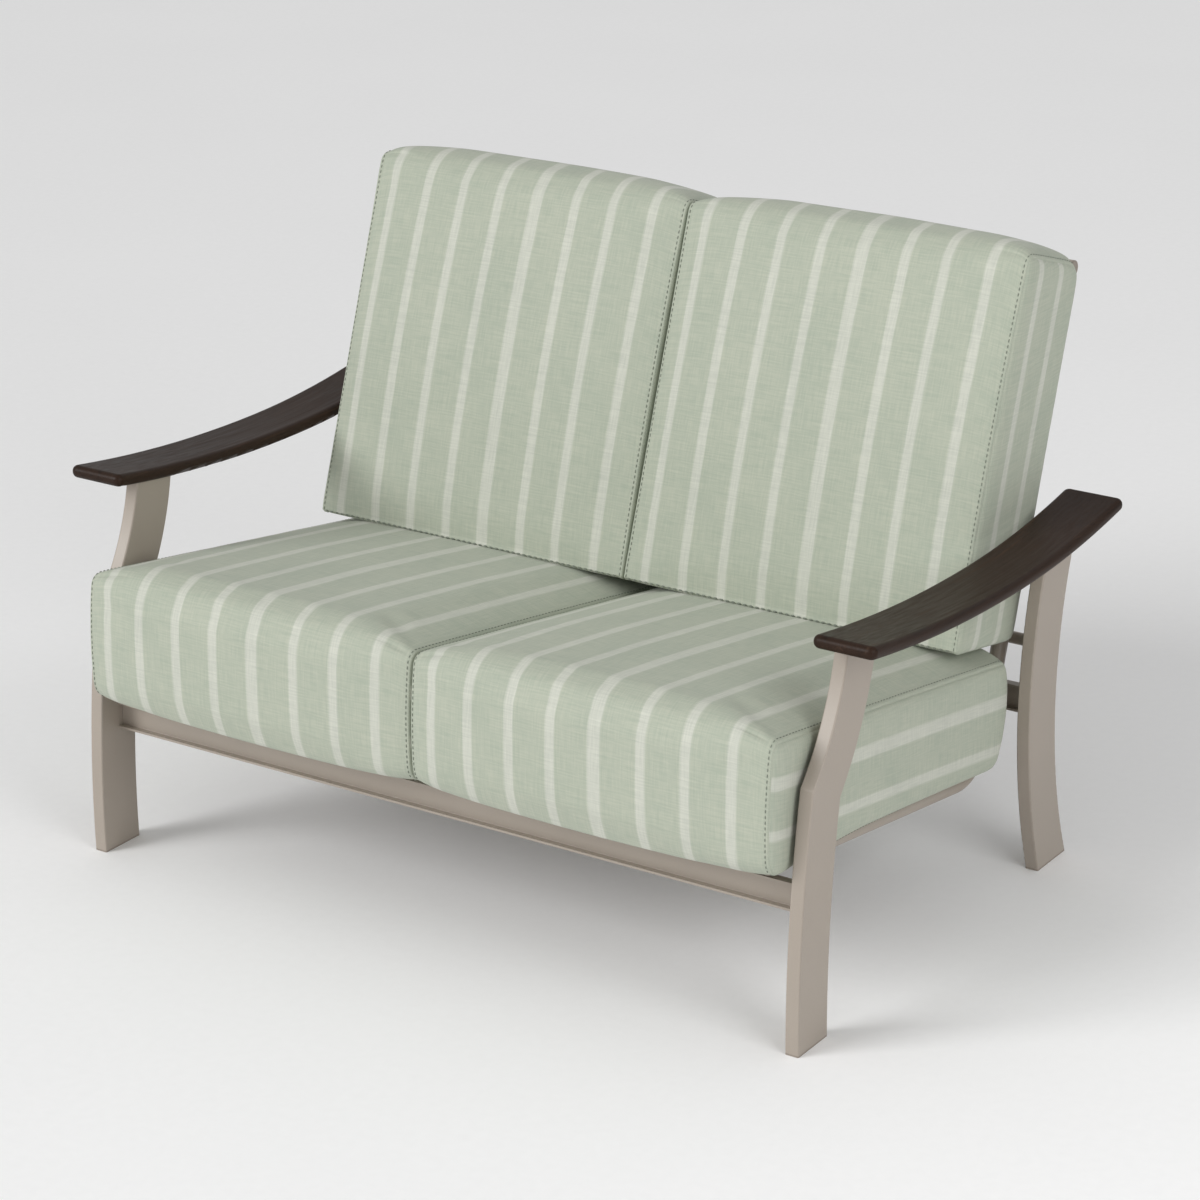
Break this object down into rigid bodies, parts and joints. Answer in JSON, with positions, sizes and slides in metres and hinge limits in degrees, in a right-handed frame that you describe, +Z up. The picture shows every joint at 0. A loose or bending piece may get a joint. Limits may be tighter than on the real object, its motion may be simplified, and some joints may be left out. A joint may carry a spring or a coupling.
{
  "type": "patio loveseat",
  "caption": "Loveseat for patio or porch: metal frame with flat bent legs, swooped wood-grain arms, loose striped seat and back cushions on slings.",
  "frame": {"origin": "on the floor, under the middle of the overall width and depth", "axes": "+X to the right of someone facing the seat, along the width; +Y to the back; +Z up"},
  "size_m": [1.405, 0.962, 0.9877],
  "materials": {
    "frame_metal": "taupe powder coat, satin with a fine texture",
    "arm_wood": "dark stained, fine straight grain, satin",
    "glide_plastic": "matt moulded",
    "screw_steel": "plain stainless",
    "sling_mesh": "coated open weave",
    "cushion_fabric": "heathered canvas weave with off-white stripes",
    "core_foam": "open-cell foam",
    "zip_plastic": "moulded coil on tape"
  },
  "bodies": {
    "frame": {"front_leg_left": "frame_metal", "front_leg_right": "frame_metal", "rear_leg_left": "frame_metal", "rear_leg_right": "frame_metal", "arm_bar_left": "frame_metal", "arm_bar_right": "frame_metal", "front_glide_left": "glide_plastic", "front_glide_right": "glide_plastic", "rear_glide_left": "glide_plastic", "rear_glide_right": "glide_plastic", "arm_left": "arm_wood", "arm_right": "arm_wood", "arm_screws_left": "screw_steel", "arm_screws_right": "screw_steel", "seat_sling_left": "sling_mesh", "seat_sling_right": "sling_mesh", "back_sling_left": "sling_mesh", "back_sling_right": "sling_mesh", "front_rail": "frame_metal", "rear_rail": "frame_metal", "lower_back_bar": "frame_metal", "top_back_bar": "frame_metal", "bent_rail_left": "frame_metal", "bent_rail_centre": "frame_metal", "bent_rail_right": "frame_metal", "rail_plugs": "glide_plastic", "top_bar_caps": "glide_plastic"},
    "seat_cushion_left": {"seat_cover_left": "cushion_fabric", "seat_core_left": "core_foam", "seat_zip_left": "zip_plastic"},
    "back_cushion_left": {"back_cover_left": "cushion_fabric", "back_core_left": "core_foam", "back_zip_left": "zip_plastic"},
    "seat_cushion_right": {"seat_cover_right": "cushion_fabric", "seat_core_right": "core_foam", "seat_zip_right": "zip_plastic"},
    "back_cushion_right": {"back_cover_right": "cushion_fabric", "back_core_right": "core_foam", "back_zip_right": "zip_plastic"}
  },
  "joints": [
    {"name": "seat_cushion_left_lift_out", "type": "slide", "parent": "frame", "child": "seat_cushion_left", "axis": [0, -0.9898, 0.1426], "range_m": [0, 0.74]},
    {"name": "back_cushion_left_lift_out", "type": "slide", "parent": "frame", "child": "back_cushion_left", "axis": [0, 0, 1], "range_m": [0, 0.6]},
    {"name": "seat_cushion_right_lift_out", "type": "slide", "parent": "frame", "child": "seat_cushion_right", "axis": [0, -0.9898, 0.1426], "range_m": [0, 0.74]},
    {"name": "back_cushion_right_lift_out", "type": "slide", "parent": "frame", "child": "back_cushion_right", "axis": [0, 0, 1], "range_m": [0, 0.6]}
  ]
}
